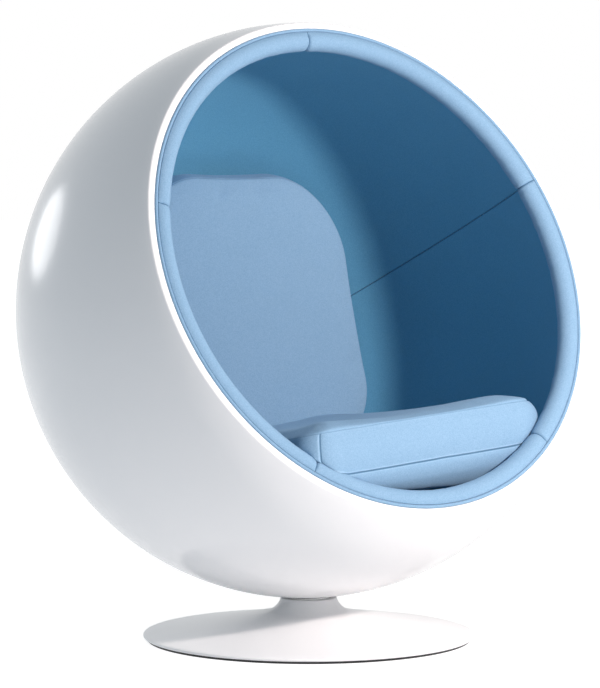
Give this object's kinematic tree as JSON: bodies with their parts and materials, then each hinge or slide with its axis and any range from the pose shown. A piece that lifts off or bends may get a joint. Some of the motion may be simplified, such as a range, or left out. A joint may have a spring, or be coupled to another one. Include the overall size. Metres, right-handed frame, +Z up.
{
  "type": "pod chair",
  "caption": "Ball-shaped lounge chair: a moulded shell with a slanting round opening, padded and lined inside, with loose seat and back cushions, turning on a trumpet base.",
  "frame": {"origin": "on the floor, on the swivel axis, at the centre of the foot ring", "axes": "+Z up along the swivel axis, the opening faces -Y at rest, +X to the right of the opening as seen from the front"},
  "size_m": [1.1, 0.9713, 1.18],
  "materials": {
    "shell_white": "moulded fibreglass with a glossy white gel coat",
    "base_white": "cast aluminium, glossy white lacquer",
    "cloth": "light blue wool cloth with a fine felted weave",
    "foam": "open-cell polyether foam",
    "batten_wood": "raw birch plywood",
    "rubber_black": "matt black rubber",
    "plate_black": "steel sheet, black powder coat",
    "steel": "zinc-plated and ground steel",
    "bearing_steel": "hardened and polished",
    "bronze": "sintered bronze",
    "saddle_aluminium": "turned"
  },
  "bodies": {
    "base": {"foot_ring": "rubber_black", "base_trumpet": "base_white", "floor_plate": "plate_black", "floor_plate_screws": "steel", "lower_bush": "bronze", "upper_bush": "bronze", "lower_race": "bearing_steel"},
    "ball_cage": {"bearing_cage": "bronze", "bearing_balls": "bearing_steel"},
    "chair": {"upper_race": "bearing_steel", "spindle": "steel", "spindle_nut": "steel", "foot_washer": "steel", "foot_bolt": "steel", "saddle": "saddle_aluminium", "bedding_pad": "rubber_black", "shell": "shell_white", "spreader_plate": "steel", "mounting_bolts": "steel", "mounting_washers": "steel", "rim_batten": "batten_wood", "liner_foam": "foam", "liner_panel_1": "cloth", "liner_panel_2": "cloth", "liner_panel_3": "cloth", "liner_panel_4": "cloth", "liner_panel_5": "cloth", "roll_core": "foam", "rim_piping": "cloth", "seat_support": "foam", "seat_cushion": "cloth", "back_cushion": "cloth"}
  },
  "joints": [
    {"name": "swivel", "type": "hinge", "parent": "base", "child": "chair", "pos_m": [0, 0, 0], "axis": [0, 0, 1], "continuous": true},
    {"name": "cage_turn", "type": "hinge", "parent": "base", "child": "ball_cage", "pos_m": [0, 0, 0], "axis": [0, 0, 1], "continuous": true}
  ],
  "couplings": [
    {"joint": "cage_turn", "follows": "swivel", "ratio": 0.5}
  ]
}
